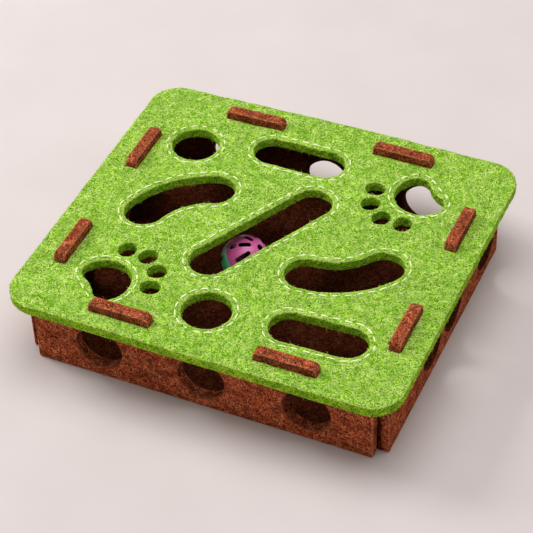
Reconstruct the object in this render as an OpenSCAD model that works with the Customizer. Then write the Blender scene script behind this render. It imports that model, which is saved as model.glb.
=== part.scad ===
// Felt cat toy box: a tray with round wall holes, a lid with paw-print openings
// that sits on eight tabs, and a slotted bell ball that rolls inside.
// Millimetres. X runs along the front edge, Y to the back, Z up, and the origin
// is on the ground under the middle of the lid.

/* [Lid] */
// Lid along the front edge
lid_w = 330; // [310:1:380]
// Lid from front to back
lid_d = 300; // [285:1:340]
// Thickness of the lid's felt
lid_t = 9.2; // [6:0.1:12]
// Radius of the lid's corners
lid_corner_r = 26; // [10:1:36]

/* [Tray] */
// How far the lid reaches past the side walls
side_overhang = 11.2; // [6:0.1:20]
// How far the lid reaches past the front wall
front_overhang = 14.4; // [8:0.1:20]
// How far the lid reaches past the back wall
back_overhang = 17.8; // [8:0.1:20]
// Thickness of the floor's felt
floor_t = 9.6; // [6:0.1:12]
// Thickness of the walls' felt
wall_t = 9.8; // [6:0.1:12]
// Clear height between the ball and the lid
head_room = 10.6; // [6:0.1:40]
// How far the left wall's upper edge leans in
left_lean = 9.2; // [0:0.1:10]
// How far the right wall's upper edge leans in
right_lean = 7; // [0:0.1:10]
// How far the back wall's upper edge leans out
back_lean = 5.2; // [0:0.1:8]
// Height of the band in which the walls lean
lean_h = 26.5; // [15:0.5:35]

/* [Tabs] */
// Length of a tab along the front and back walls
tab_l = 52; // [30:1:60]
// Length of a tab along the side walls
side_tab_l = 49; // [30:1:56]
// How far a tab stands above the lid
tab_proud = 7.3; // [2:0.1:15]
// Radius of a tab's upper corners
tab_corner_r = 4.5; // [1:0.1:7]
// Clearance between a tab and its slot, on every side
tab_clear = 0.4; // [0.2:0.05:1]
// Front wall's left tab, from the middle
front_tab_left = -67; // [-90:0.5:-40]
// Front wall's right tab, from the middle
front_tab_right = 72.5; // [40:0.5:90]
// Back wall's left tab, from the middle
back_tab_left = -67; // [-90:0.5:-40]
// Back wall's right tab, from the middle
back_tab_right = 66.5; // [40:0.5:90]
// Left wall's front tab, from the lid's middle
left_tab_front = -71; // [-85:0.5:-40]
// Left wall's back tab, from the lid's middle
left_tab_back = 55.5; // [40:0.5:85]
// Right wall's front tab, from the lid's middle
right_tab_front = -62.5; // [-85:0.5:-40]
// Right wall's back tab, from the lid's middle
right_tab_back = 58; // [40:0.5:85]

/* [Wall holes] */
// Diameter of the round holes in the walls
hole_d = 39.6; // [20:0.1:45]
// Height of the holes' lowest point above the floor
hole_sill = 0.4; // [0.2:0.1:5]
// Distance between the holes of the front and back walls
hole_pitch = 88.5; // [60:0.5:100]
// Middle hole of the front wall, from the middle
front_hole = 1.4; // [-10:0.1:10]
// Middle hole of the back wall, from the middle
back_hole = 1.4; // [-10:0.1:10]
// Side walls' front hole, from the lid's middle
side_hole_front = -33; // [-70:0.5:-33]
// Side walls' middle hole, from the lid's middle
side_hole_middle = 14; // [14:0.5:30]
// Side walls' back hole, from the lid's middle
side_hole_back = 91.5; // [76:0.5:92]

/* [Round openings] */
// Diameter of the lid's two round openings
round_d = 40.3; // [25:0.1:44]
// Back round opening from the lid's left edge
round_back_edge_x = 62.6; // [50:0.1:75]
// Back round opening from the lid's back edge
round_back_edge_y = 71.5; // [50:0.1:75]
// Front round opening from the lid's middle
round_front_x = -7.8; // [-10:0.1:5]
// Front round opening from the lid's front edge
round_front_edge_y = 49.3; // [46:0.1:55]

/* [Long openings] */
// Overall length of the two straight openings along the edges
track_l = 80.4; // [50:0.1:90]
// Width of the two straight openings along the edges
track_w = 32.5; // [20:0.1:36]
// Back straight opening from the lid's middle
track_back_x = -14.2; // [-20:0.1:0]
// Back straight opening from the lid's back edge
track_back_edge_y = 55.1; // [50:0.1:62]
// Front straight opening from the lid's right edge
track_front_edge_x = 82.7; // [78:0.1:90]
// Front straight opening from the lid's front edge
track_front_edge_y = 57.6; // [52:0.1:62]
// Turn of the front straight opening
track_front_turn = 2.4; // [-5:0.1:5]
// Overall length of the slanted opening across the middle
slant_l = 139; // [90:0.5:145]
// Width of the slanted opening
slant_w = 33.4; // [20:0.1:37]
// Slanted opening's middle along X
slant_x = -5.8; // [-10:0.1:0]
// Slanted opening's middle along Y
slant_y = -1.3; // [-5:0.1:5]
// Direction of the slanted opening, from the X axis
slant_turn = 62.4; // [55:0.1:70]

/* [Bent openings] */
// Width of the two bent openings
bent_w = 34; // [20:0.1:37]
// Radius of their middle line
bent_r = 67; // [50:0.5:90]
// Angle that the middle line turns through
bent_span = 55; // [40:0.5:58]
// Left bent opening's middle along X
bent_left_x = -89.1; // [-95:0.1:-85]
// Left bent opening's middle along Y
bent_left_y = 14.1; // [8:0.1:18]
// Direction in which the left one bulges
bent_left_turn = 136.8; // [130:0.1:142]
// Right bent opening's middle along X
bent_right_x = 77.3; // [74:0.1:85]
// Right bent opening's middle along Y
bent_right_y = -25.3; // [-28:0.1:-20]
// Direction in which the right one bulges
bent_right_turn = -61; // [-66:0.1:-56]

/* [Paw prints] */
// Radius of the pad's round front
pad_r = 22.7; // [16:0.1:24]
// Radius of the pad's two heel corners
pad_heel_r = 10.8; // [5:0.1:12]
// Straight length of the pad's sides
pad_side = 2; // [0.5:0.1:4]
// Depth of the dip in the pad's heel
pad_dip = 1.9; // [0.4:0.1:3]
// Overall length of a toe opening
toe_l = 16.8; // [15.6:0.1:18]
// Width of a toe opening
toe_w = 14.9; // [8:0.1:15.5]
// Inner toes' distance from the pad's middle
toe_inner_r = 43; // [40:0.1:46]
// Outer toes' distance from the pad's middle
toe_outer_r = 38.8; // [37:0.1:42]
// Inner toes' angle from the paw's axis
toe_inner_turn = 13; // [12:0.1:14]
// Outer toes' angle from the paw's axis
toe_outer_turn = 39; // [37:0.1:41]
// Paws' distance from the lid's left and right edges
paw_edge_x = 66.9; // [62:0.1:75]
// Front paw from the lid's front edge
paw_front_edge_y = 49.8; // [49:0.1:60]
// Back paw from the lid's back edge
paw_back_edge_y = 62.4; // [55:0.1:66]
// Direction in which the front paw points
paw_turn = 48; // [40:0.5:56]

/* [Seams] */
// Distance of a seam from its opening's edge
seam_inset = 4.3; // [3:0.1:5]
// Length of one stitch on the lid's top
stitch_l = 6.2; // [3:0.1:8]
// Space from one stitch to the next, end to end
stitch_gap = 3.7; // [2:0.1:6]
// Width of the thread
thread_w = 1; // [0.6:0.05:1.4]
// Height of the thread above the felt
thread_h = 0.6; // [0.3:0.05:1]

/* [Ball] */
// Outer diameter of the ball
ball_d = 40; // [30:0.5:44]
// Wall of the ball's two halves
ball_t = 1.2; // [0.8:0.1:2]
// Gap under the ball where it lies on the floor
ball_gap = 0.3; // [0.1:0.05:1]
// Ball's resting place along X
ball_x = -23.4; // [-100:0.1:100]
// Ball's resting place along Y
ball_y = 2.5; // [-80:0.1:80]
// Tilt of the coloured halves' axis from upright
ball_tilt = 40.5; // [0:0.5:90]
// Heading of that tilt
ball_heading = 10; // [-180:1:180]
// Turn of the slots about that axis
ball_spin = 78.5; // [-180:0.5:180]
// Width of a slot in the ball
ball_slot_w = 3.8; // [1.5:0.1:4]
// Long slots: where they begin, in degrees from the half's tip
long_slot_from = 31; // [28:0.5:34]
// Long slots: where they end
long_slot_to = 73; // [68:0.5:76]
// Middle slots: where they begin, in degrees from the half's tip
middle_slot_from = 23.5; // [22:0.5:27]
// Middle slots: where they end
middle_slot_to = 53.5; // [48:0.5:54]
// Outer slots, in line with the middle ones: where they begin
outer_slot_from = 59; // [58.5:0.5:61]
// Outer slots: where they end
outer_slot_to = 76.5; // [74:0.5:80]
// Short slots: where they begin, in degrees from the half's tip
short_slot_from = 23; // [22:0.5:27]
// Short slots: where they end
short_slot_to = 48; // [44:0.5:52]
// Diameter of the hole in each half's tip
ball_eye_d = 5.6; // [3:0.1:7]
// Turn of the teal half's slots against the pink half's
teal_turn = 48; // [-60:1:60]

/* [Bell] */
// Outer diameter of the bell inside the ball
bell_d = 14; // [10:0.5:18]
// Wall of the bell
bell_t = 0.8; // [0.5:0.1:1.2]
// Gap between the bell and the ball
bell_gap = 0.3; // [0.1:0.05:1]
// Width of the bell's slot
bell_slot_w = 1.6; // [0.8:0.1:2]
// Diameter of the round ends of that slot
bell_eye_d = 3.2; // [2.2:0.1:4]
// Diameter of the pellet in the bell
pellet_d = 4.2; // [3:0.1:5]
// Gap between the pellet and the bell
pellet_gap = 0.1; // [0.05:0.05:0.5]

/* [Hidden] */
$fn = 64;

lime = [0.56, 0.78, 0.24];
brown = [0.45, 0.22, 0.14];
thread = [0.93, 0.95, 0.75];
pink = [0.80, 0.35, 0.62];
teal = [0.22, 0.60, 0.47];
brass = [0.80, 0.68, 0.35];
// how far a cutter reaches past the faces that it cuts
over = 2;
// least felt between a side hole and the wall's end
hole_rim = 4;
// how much wider a bent opening's round ends are than its band, so that they cross cleanly
end_spare = 0.02;

// tray: the walls stand round the floor, with the corners left open
floor_w = lid_w - 2 * (side_overhang + wall_t);
front_y = -lid_d / 2 + front_overhang;
back_y = lid_d / 2 - back_overhang;
floor_front = front_y + wall_t;
side_back = back_y - wall_t;
floor_back = side_back - back_lean;
floor_d = floor_back - floor_front;
side_d = side_back - floor_front;
wall_h = floor_t + ball_gap + ball_d + head_room;
lean_z = wall_h - lean_h;
hole_z = floor_t + hole_sill + hole_d / 2;
lid_top = wall_h + lid_t;
tab_top = lid_top + tab_proud;
// the side walls' tabs stand on their leaned-in upper edges
left_tab_x = floor_w / 2 - left_lean;
right_tab_x = floor_w / 2 - right_lean;

front_tabs = [front_tab_left, front_tab_right];
back_tabs = [back_tab_left, back_tab_right];
left_tabs = [left_tab_front, left_tab_back];
right_tabs = [right_tab_front, right_tab_back];
// the side walls' holes keep clear of the walls' ends
hole_reach = hole_d / 2 + hole_rim;
side_holes = [for (y = [side_hole_front, side_hole_middle, side_hole_back])
    max(floor_front + hole_reach, min(side_back - hole_reach, y))];

// lid openings: their middles on the lid
round_back = [-lid_w / 2 + round_back_edge_x, lid_d / 2 - round_back_edge_y];
round_front = [round_front_x, -lid_d / 2 + round_front_edge_y];
track_back = [track_back_x, lid_d / 2 - track_back_edge_y];
track_front = [lid_w / 2 - track_front_edge_x, -lid_d / 2 + track_front_edge_y];
slant = [slant_x, slant_y];
bent_left = [bent_left_x, bent_left_y];
bent_right = [bent_right_x, bent_right_y];
paw_front = [-lid_w / 2 + paw_edge_x, -lid_d / 2 + paw_front_edge_y];
paw_back = [lid_w / 2 - paw_edge_x, lid_d / 2 - paw_back_edge_y];
// across the pad: where the middles of its heel corners lie
pad_heel_y = pad_r - pad_heel_r;
// the dip is a large circle that touches both heel corners
dip_back = (pow(pad_heel_y, 2) - pow(pad_dip, 2)) / (2 * pad_dip);
dip_r = dip_back - pad_heel_r + pad_dip;

ball_z = floor_t + ball_gap + ball_d / 2;
bell_z = ball_z - ball_d / 2 + ball_t + bell_gap + bell_d / 2;
pellet_z = bell_z - bell_d / 2 + bell_t + pellet_gap + pellet_d / 2;

// A seam's route is a list of pieces: a line is [from, to] and an arc is
// [middle, radius, first angle, sweep], walked with the opening on the left.
function is_arc(p) = len(p) == 4;
function piece_length(p) = is_arc(p) ? p[1] * abs(p[3]) * PI / 180 : norm(p[1] - p[0]);
function route_length(r, i = 0) = i == len(r) ? 0 : piece_length(r[i]) + route_length(r, i + 1);
function on_circle(c, r, a) = c + r * [cos(a), sin(a)];
function arc_angle(p, s) = p[2] + p[3] * s / piece_length(p);
function line_turn(p) = atan2(p[1][1] - p[0][1], p[1][0] - p[0][0]);
function piece_point(p, s) = is_arc(p)
    ? on_circle(p[0], p[1], arc_angle(p, s))
    : p[0] + (p[1] - p[0]) * s / piece_length(p);
function piece_turn(p, s) = is_arc(p) ? arc_angle(p, s) + 90 * sign(p[3]) : line_turn(p);
// the point and the heading at a distance along a route
function along(r, s, i = 0) = s <= piece_length(r[i]) || i == len(r) - 1
    ? [piece_point(r[i], s), piece_turn(r[i], s)]
    : along(r, s - piece_length(r[i]), i + 1);

round_route = [[[0, 0], round_d / 2 + seam_inset, 0, 360]];

function long_route(l, w) = let (h = (l - w) / 2, r = w / 2 + seam_inset) [
    [[-h, -r], [h, -r]],
    [[h, 0], r, -90, 180],
    [[h, r], [-h, r]],
    [[-h, 0], r, 90, 180]];

bent_end_r = bent_w / 2 + seam_inset;
bent_route = [
    [[0, 0], bent_r + bent_end_r, -bent_span / 2, bent_span],
    [on_circle([0, 0], bent_r, bent_span / 2), bent_end_r, bent_span / 2, 180],
    [[0, 0], bent_r - bent_end_r, bent_span / 2, -bent_span],
    [on_circle([0, 0], bent_r, -bent_span / 2), bent_end_r, 180 - bent_span / 2, 180]];

pad_out = pad_r + seam_inset;
heel_out = pad_heel_r + seam_inset;
pad_route = [
    [[0, 0], pad_out, -90, 180],
    [[0, pad_out], [-pad_side, pad_out]],
    [[-pad_side, pad_heel_y], heel_out, 90, 90],
    [[-pad_side - heel_out, pad_heel_y], [-pad_side - heel_out, -pad_heel_y]],
    [[-pad_side, -pad_heel_y], heel_out, 180, 90],
    [[-pad_side, -pad_out], [0, -pad_out]]];

// Flat outlines

module long_2d(l, w) {
    square([l - w, w], center = true);
    for (s = [-1, 1])
        translate([s * (l - w) / 2, 0])
            circle(d = w);
}

module box_2d(w, d, r) {
    square([w - 2 * r, d], center = true);
    square([w, d - 2 * r], center = true);
    for (x = [-1, 1], y = [-1, 1])
        translate([x * (w / 2 - r), y * (d / 2 - r)])
            circle(r = r);
}

// a tab seen square on, standing on the wall's upper edge
module tab_2d(l) {
    h = tab_top - wall_h;
    translate([-l / 2, 0])
        square([l, h - tab_corner_r]);
    translate([tab_corner_r - l / 2, 0])
        square([l - 2 * tab_corner_r, h]);
    for (s = [-1, 1])
        translate([s * (l / 2 - tab_corner_r), h - tab_corner_r])
            circle(r = tab_corner_r);
}

// Walls: drawn lying flat, then stood up by on_edge

module on_edge(x, y, turn) {
    translate([x, y, 0])
        rotate([0, 0, turn])
            rotate([90, 0, 0])
                children();
}

module wall_holes(places, depth) {
    for (x = places)
        translate([x, hole_z, -depth - over])
            cylinder(d = hole_d, h = 2 * (depth + over));
}

function row_of_holes(first) = [for (i = [-1:1]) first + i * hole_pitch];

module wall_tabs(tabs) {
    for (x = tabs)
        translate([x, wall_h, 0])
            linear_extrude(wall_t)
                tab_2d(tab_l);
}

// the right wall's board: upright below and leaning in above
module side_board(lean) {
    in_x = floor_w / 2;
    out_x = in_x + wall_t;
    tab_x = in_x - lean;
    translate([0, side_back, 0])
        rotate([90, 0, 0])
            linear_extrude(side_d)
                polygon([[in_x, 0], [out_x, 0], [out_x, lean_z],
                    [tab_x + wall_t, wall_h], [tab_x, wall_h], [in_x, lean_z]]);
}

// the right wall, with its tabs upright
module side_wall(tabs, lean) {
    in_x = floor_w / 2;
    tab_x = in_x - lean;
    difference() {
        side_board(lean);
        on_edge(in_x, 0, 90)
            wall_holes(side_holes, wall_t + lean);
    }
    for (y = tabs)
        on_edge(tab_x, y, 90)
            translate([0, wall_h, 0])
                linear_extrude(wall_t)
                    tab_2d(side_tab_l);
}

module floor_panel() {
    color(brown)
        translate([-floor_w / 2, floor_front, 0])
            cube([floor_w, floor_d, floor_t]);
}

module front_board() {
    difference() {
        translate([-floor_w / 2, 0, 0])
            cube([floor_w, wall_h, wall_t]);
        wall_holes(row_of_holes(front_hole), wall_t);
    }
    wall_tabs(front_tabs);
}

module front_wall() {
    color(brown)
        on_edge(0, floor_front, 0)
            front_board();
}

// the back wall leans out above, and makes room for the side walls where they lean in
module back_board() {
    difference() {
        translate([-floor_w / 2, 0, 0])
            rotate([90, 0, 90])
                linear_extrude(floor_w)
                    polygon([[floor_back, 0], [floor_back + wall_t, 0], [floor_back + wall_t, lean_z],
                        [back_y, wall_h], [side_back, wall_h], [floor_back, lean_z]]);
        on_edge(0, back_y, 0)
            wall_holes(row_of_holes(back_hole), wall_t + back_lean);
        side_board(right_lean);
        mirror([1, 0, 0])
            side_board(left_lean);
    }
    on_edge(0, back_y, 0)
        wall_tabs(back_tabs);
}

module back_wall() {
    color(brown)
        back_board();
}

module right_wall() {
    color(brown)
        side_wall(right_tabs, right_lean);
}

module left_wall() {
    color(brown)
        mirror([1, 0, 0])
            side_wall(left_tabs, left_lean);
}

// Lid

module place(at, turn = 0) {
    translate([at[0], at[1], 0])
        rotate([0, 0, turn])
            children();
}

// a cutter through the lid's whole thickness
module through_lid() {
    translate([0, 0, wall_h - over])
        linear_extrude(lid_t + 2 * over)
            children();
}

// the bent outline's middle lies at the origin and it bulges towards +X
module bent_frame(at, turn) {
    place(at, turn)
        translate([-bent_r, 0, 0])
            children();
}

module bent_cut() {
    reach = 2 * (bent_r + bent_w);
    half = bent_span / 2;
    through_lid()
        intersection() {
            difference() {
                circle(r = bent_r + bent_w / 2);
                circle(r = bent_r - bent_w / 2);
            }
            polygon([[0, 0], reach * [cos(half), -sin(half)], reach * [cos(half), sin(half)]]);
        }
    for (s = [-1, 1])
        rotate([0, 0, s * half])
            translate([bent_r, 0, 0])
                through_lid()
                    circle(d = bent_w + end_spare);
}

module pad_cut() {
    through_lid()
        intersection() {
            circle(r = pad_r);
            translate([0, -pad_r])
                square(2 * pad_r);
        }
    through_lid()
        difference() {
            union() {
                translate([-pad_side, -pad_r])
                    square([pad_side, 2 * pad_r]);
                translate([-pad_side - pad_heel_r, -pad_heel_y])
                    square([pad_side + pad_heel_r, 2 * pad_heel_y]);
                for (s = [-1, 1])
                    translate([-pad_side, s * pad_heel_y])
                        circle(r = pad_heel_r);
            }
            translate([-pad_side - dip_back, 0])
                circle(r = dip_r);
        }
}

module paw_cut() {
    pad_cut();
    for (s = [-1, 1], toe = [[toe_inner_r, toe_inner_turn], [toe_outer_r, toe_outer_turn]])
        rotate([0, 0, s * toe[1]])
            translate([toe[0], 0, 0])
                through_lid()
                    long_2d(toe_l, toe_w);
}

module tab_slots(places, l) {
    for (x = places)
        translate([x, wall_t / 2, 0])
            through_lid()
                square([l + 2 * tab_clear, wall_t + 2 * tab_clear], center = true);
}

module lid_panel() {
    color(lime)
        difference() {
            translate([0, 0, wall_h])
                linear_extrude(lid_t)
                    box_2d(lid_w, lid_d, lid_corner_r);
            place(round_back)
                through_lid()
                    circle(d = round_d);
            place(round_front)
                through_lid()
                    circle(d = round_d);
            place(track_back)
                through_lid()
                    long_2d(track_l, track_w);
            place(track_front, track_front_turn)
                through_lid()
                    long_2d(track_l, track_w);
            place(slant, slant_turn)
                through_lid()
                    long_2d(slant_l, slant_w);
            bent_frame(bent_left, bent_left_turn)
                bent_cut();
            bent_frame(bent_right, bent_right_turn)
                bent_cut();
            place(paw_front, paw_turn)
                paw_cut();
            place(paw_back, paw_turn + 180)
                paw_cut();
            translate([0, front_y, 0])
                tab_slots(front_tabs, tab_l);
            translate([0, side_back, 0])
                tab_slots(back_tabs, tab_l);
            translate([right_tab_x + wall_t, 0, 0])
                rotate([0, 0, 90])
                    tab_slots(right_tabs, side_tab_l);
            translate([-left_tab_x, 0, 0])
                rotate([0, 0, 90])
                    tab_slots(left_tabs, side_tab_l);
        }
}

// Seams: a running stitch shows on the lid's top and, between, on its underside

module stitch(l) {
    linear_extrude(thread_h)
        long_2d(l, thread_w);
}

module seam(route) {
    total = route_length(route);
    n = max(3, round(total / (stitch_l + stitch_gap)));
    for (i = [0:n - 1]) {
        top = along(route, (i + 0.25) * total / n);
        under = along(route, (i + 0.75) * total / n);
        translate([top[0][0], top[0][1], lid_top])
            rotate([0, 0, top[1]])
                stitch(stitch_l);
        translate([under[0][0], under[0][1], wall_h - thread_h])
            rotate([0, 0, under[1]])
                stitch(stitch_gap);
    }
}

module seam_round_back() {
    color(thread)
        place(round_back)
            seam(round_route);
}

module seam_round_front() {
    color(thread)
        place(round_front)
            seam(round_route);
}

module seam_track_back() {
    color(thread)
        place(track_back)
            seam(long_route(track_l, track_w));
}

module seam_track_front() {
    color(thread)
        place(track_front, track_front_turn)
            seam(long_route(track_l, track_w));
}

module seam_slant() {
    color(thread)
        place(slant, slant_turn)
            seam(long_route(slant_l, slant_w));
}

module seam_bent_left() {
    color(thread)
        bent_frame(bent_left, bent_left_turn)
            seam(bent_route);
}

module seam_bent_right() {
    color(thread)
        bent_frame(bent_right, bent_right_turn)
            seam(bent_route);
}

module seam_pad_front() {
    color(thread)
        place(paw_front, paw_turn)
            seam(pad_route);
}

module seam_pad_back() {
    color(thread)
        place(paw_back, paw_turn + 180)
            seam(pad_route);
}

// Ball and bell

module at_ball() {
    translate([ball_x, ball_y, ball_z])
        rotate([0, ball_tilt, ball_heading])
            rotate([0, 0, ball_spin])
                children();
}

// three slots round the tip, each along a line from the tip to the joint
module ball_slots(from, to, turn) {
    for (k = [0:2])
        rotate([0, 0, turn + 120 * k])
            rotate([0, (from + to) / 2, 0])
                translate([0, 0, ball_d / 4])
                    linear_extrude(ball_d / 2)
                        long_2d(ball_d * sin((to - from) / 2), ball_slot_w);
}

// the half that lies on the +Z side of the joint
module ball_half() {
    difference() {
        sphere(d = ball_d);
        sphere(d = ball_d - 2 * ball_t);
        translate([-ball_d, -ball_d, -2 * ball_d])
            cube(2 * ball_d);
        ball_slots(short_slot_from, short_slot_to, -40);
        ball_slots(middle_slot_from, middle_slot_to, 0);
        ball_slots(outer_slot_from, outer_slot_to, 0);
        ball_slots(long_slot_from, long_slot_to, 40);
        translate([0, 0, ball_d / 4])
            cylinder(d = ball_eye_d, h = ball_d / 2);
    }
}

module ball_half_pink() {
    color(pink)
        at_ball()
            ball_half();
}

module ball_half_teal() {
    color(teal)
        at_ball()
            rotate([180, 0, teal_turn])
                ball_half();
}

module bell_shell() {
    difference() {
        sphere(d = bell_d);
        sphere(d = bell_d - 2 * bell_t);
    }
}

module bell_cap() {
    color(brass)
        translate([ball_x, ball_y, bell_z])
            difference() {
                bell_shell();
                translate([-bell_d, -bell_d, -2 * bell_d])
                    cube(2 * bell_d);
            }
}

// the lower half, with a slot across it that ends in two round eyes
module bell_cup() {
    color(brass)
        translate([ball_x, ball_y, bell_z])
            difference() {
                bell_shell();
                translate([-bell_d, -bell_d, 0])
                    cube(2 * bell_d);
                translate([-bell_d / 4, -bell_slot_w / 2, -bell_d])
                    cube([bell_d / 2, bell_slot_w, bell_d]);
                for (s = [-1, 1])
                    translate([s * bell_d / 4, 0, -bell_d])
                        cylinder(d = bell_eye_d, h = bell_d);
            }
}

module bell_pellet() {
    color(brass)
        translate([ball_x, ball_y, pellet_z])
            sphere(d = pellet_d);
}

floor_panel();
front_wall();
back_wall();
left_wall();
right_wall();
lid_panel();
seam_round_back();
seam_round_front();
seam_track_back();
seam_track_front();
seam_slant();
seam_bent_left();
seam_bent_right();
seam_pad_front();
seam_pad_back();
ball_half_pink();
ball_half_teal();
bell_cap();
bell_cup();
bell_pellet();
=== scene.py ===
"""Felt cat toy box: the looks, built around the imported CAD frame.

Sizes are in millimetres, as in the part's source, and become metres where a mesh is made.
X runs along the front edge, Y to the back, Z up, from the ground under the lid's middle.
"""

import bpy
import numpy as np
from mathutils import Matrix
from mathutils.geometry import delaunay_2d_cdt


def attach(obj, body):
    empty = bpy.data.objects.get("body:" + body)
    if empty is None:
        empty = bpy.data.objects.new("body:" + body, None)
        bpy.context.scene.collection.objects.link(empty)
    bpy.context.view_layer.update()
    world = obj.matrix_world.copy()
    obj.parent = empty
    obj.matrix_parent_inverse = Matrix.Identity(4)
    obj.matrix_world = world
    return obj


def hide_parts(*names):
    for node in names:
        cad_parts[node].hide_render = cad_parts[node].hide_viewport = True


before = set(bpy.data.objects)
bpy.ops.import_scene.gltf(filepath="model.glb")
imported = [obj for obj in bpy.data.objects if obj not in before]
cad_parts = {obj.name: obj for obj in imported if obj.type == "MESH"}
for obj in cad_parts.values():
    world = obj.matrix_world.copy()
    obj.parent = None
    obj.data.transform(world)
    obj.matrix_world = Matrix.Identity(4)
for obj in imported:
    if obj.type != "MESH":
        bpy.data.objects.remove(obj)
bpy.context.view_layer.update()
MM = 0.001

# Lid and tray
LID_W, LID_D, LID_T, LID_CORNER = 330.0, 300.0, 9.2, 26.0
FLOOR_T, WALL_T, WALL_H = 9.6, 9.8, 60.5
FLOOR_W, FLOOR_FRONT, FLOOR_BACK, SIDE_BACK = 288.0, -125.8, 117.2, 122.4
FLOOR_CORNER = 1.5
LID_TOP = WALL_H + LID_T
LEAN_H, LEFT_LEAN, RIGHT_LEAN, BACK_LEAN = 26.5, 9.2, 7.0, 5.2
TAB_L, SIDE_TAB_L, TAB_TOP, TAB_CORNER = 52.0, 49.0, 77.0, 4.5
WALL_CORNER, TAB_FOOT = 1.7, 0.5
SLOT_CLEAR, SLOT_CORNER = 0.25, 0.8
FRONT_TABS, BACK_TABS = (-67.0, 72.5), (-67.0, 66.5)
LEFT_TABS, RIGHT_TABS = (-71.0, 55.5), (-62.5, 58.0)
HOLE_D, HOLE_Z = 39.6, 29.8
LONG_HOLES = (1.4 - 88.5, 1.4, 1.4 + 88.5)
SIDE_HOLES = (-33.0, 14.0, 91.5)

# Lid openings: place, turn in degrees
ROUND_D = 40.3
ROUND_BACK, ROUND_FRONT = (-102.4, 78.5), (-7.8, -100.7)
TRACK_L, TRACK_W = 80.4, 32.5
TRACK_BACK, TRACK_FRONT, TRACK_FRONT_TURN = (-14.2, 94.9), (82.3, -92.4), 2.4
SLANT_L, SLANT_W, SLANT, SLANT_TURN = 139.0, 33.4, (-5.8, -1.3), 62.4
BENT_W, BENT_R, BENT_SPAN = 34.0, 67.0, 55.0
BENT_LEFT, BENT_LEFT_TURN = (-89.1, 14.1), 136.8
BENT_RIGHT, BENT_RIGHT_TURN = (77.3, -25.3), -61.0
PAD_R, HEEL_R, PAD_SIDE, PAD_DIP = 22.7, 10.8, 2.0, 1.9
TOE_L, TOE_W = 16.8, 14.9
TOES = ((43.0, 13.0), (43.0, -13.0), (38.8, 39.0), (38.8, -39.0))
PAW_FRONT, PAW_BACK, PAW_TURN = (-98.1, -100.2), (98.1, 87.6), 48.0

# Ball and seams
BALL, BALL_R = (-23.4, 2.5, 29.9), 20.0
SEAM_INSET, STITCH_L, STITCH_GAP, THREAD_R = 4.3, 6.2, 3.7, 0.55

# Meshes: the radius of each kind of cut edge, the steps along paths and the spacing of points on faces
LID_EDGE_R, OPENING_EDGE_R, TOE_EDGE_R, SLOT_EDGE_R = 1.2, 1.4, 1.1, 0.6
WALL_EDGE_R, FLOOR_EDGE_R = 1.3, 0.8
EDGE_STEP, TOE_STEP, FLOOR_STEP, STITCH_STEP = 1.6, 1.2, 3.0, 0.25
LID_GRID, WALL_GRID, FLOOR_GRID = 2.7, 3.2, 4.0


# Paths: a path is a list of pieces, a line (from, to) or an arc (middle, radius, first angle, sweep)

def long_path(length, width):
    """Two straight sides joined by half circles, walked anticlockwise."""
    h, r = (length - width) / 2, width / 2
    return [((-h, -r), (h, -r)), ((h, 0), r, -90, 180), ((h, r), (-h, r)), ((-h, 0), r, 90, 180)]


def box_path(width, depth, radius):
    """A rectangle with round corners, walked anticlockwise."""
    x, y, r = width / 2, depth / 2, radius
    return [((-x + r, -y), (x - r, -y)), ((x - r, -y + r), r, -90, 90),
            ((x, -y + r), (x, y - r)), ((x - r, y - r), r, 0, 90),
            ((x - r, y), (-x + r, y)), ((-x + r, y - r), r, 90, 90),
            ((-x, y - r), (-x, -y + r)), ((-x + r, -y + r), r, 180, 90)]


def bent_path(out=0.0):
    """A band of one width bent along an arc, with half-circle ends, grown by out."""
    half, w = BENT_SPAN / 2, BENT_W / 2 + out
    ends = [(BENT_R * np.cos(np.radians(s * half)), BENT_R * np.sin(np.radians(s * half))) for s in (1, -1)]
    return [((0, 0), BENT_R + w, -half, BENT_SPAN), (ends[0], w, half, 180),
            ((0, 0), BENT_R - w, half, -BENT_SPAN), (ends[1], w, 180 - half, 180)]


def pad_path():
    """The pad: a half circle in front, short sides, two round heel corners and a shallow dip between."""
    y = PAD_R - HEEL_R
    back = (y ** 2 - PAD_DIP ** 2) / (2 * PAD_DIP)
    dip_r = back - HEEL_R + PAD_DIP
    tilt = np.degrees(np.arctan2(y, back))
    return [((0, 0), PAD_R, -90, 180), ((0, PAD_R), (-PAD_SIDE, PAD_R)),
            ((-PAD_SIDE, y), HEEL_R, 90, 90 + tilt), ((-PAD_SIDE - back, 0), dip_r, tilt, -2 * tilt),
            ((-PAD_SIDE, -y), HEEL_R, 180 - tilt, 90 + tilt), ((-PAD_SIDE, -PAD_R), (0, -PAD_R))]


def pad_seam_path():
    """The pad's outline grown by the seam's inset, straight across the heel."""
    y, r, heel = PAD_R - HEEL_R, PAD_R + SEAM_INSET, HEEL_R + SEAM_INSET
    return [((0, 0), r, -90, 180), ((0, r), (-PAD_SIDE, r)), ((-PAD_SIDE, y), heel, 90, 90),
            ((-PAD_SIDE - heel, y), (-PAD_SIDE - heel, -y)), ((-PAD_SIDE, -y), heel, 180, 90),
            ((-PAD_SIDE, -r), (0, -r))]


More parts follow.
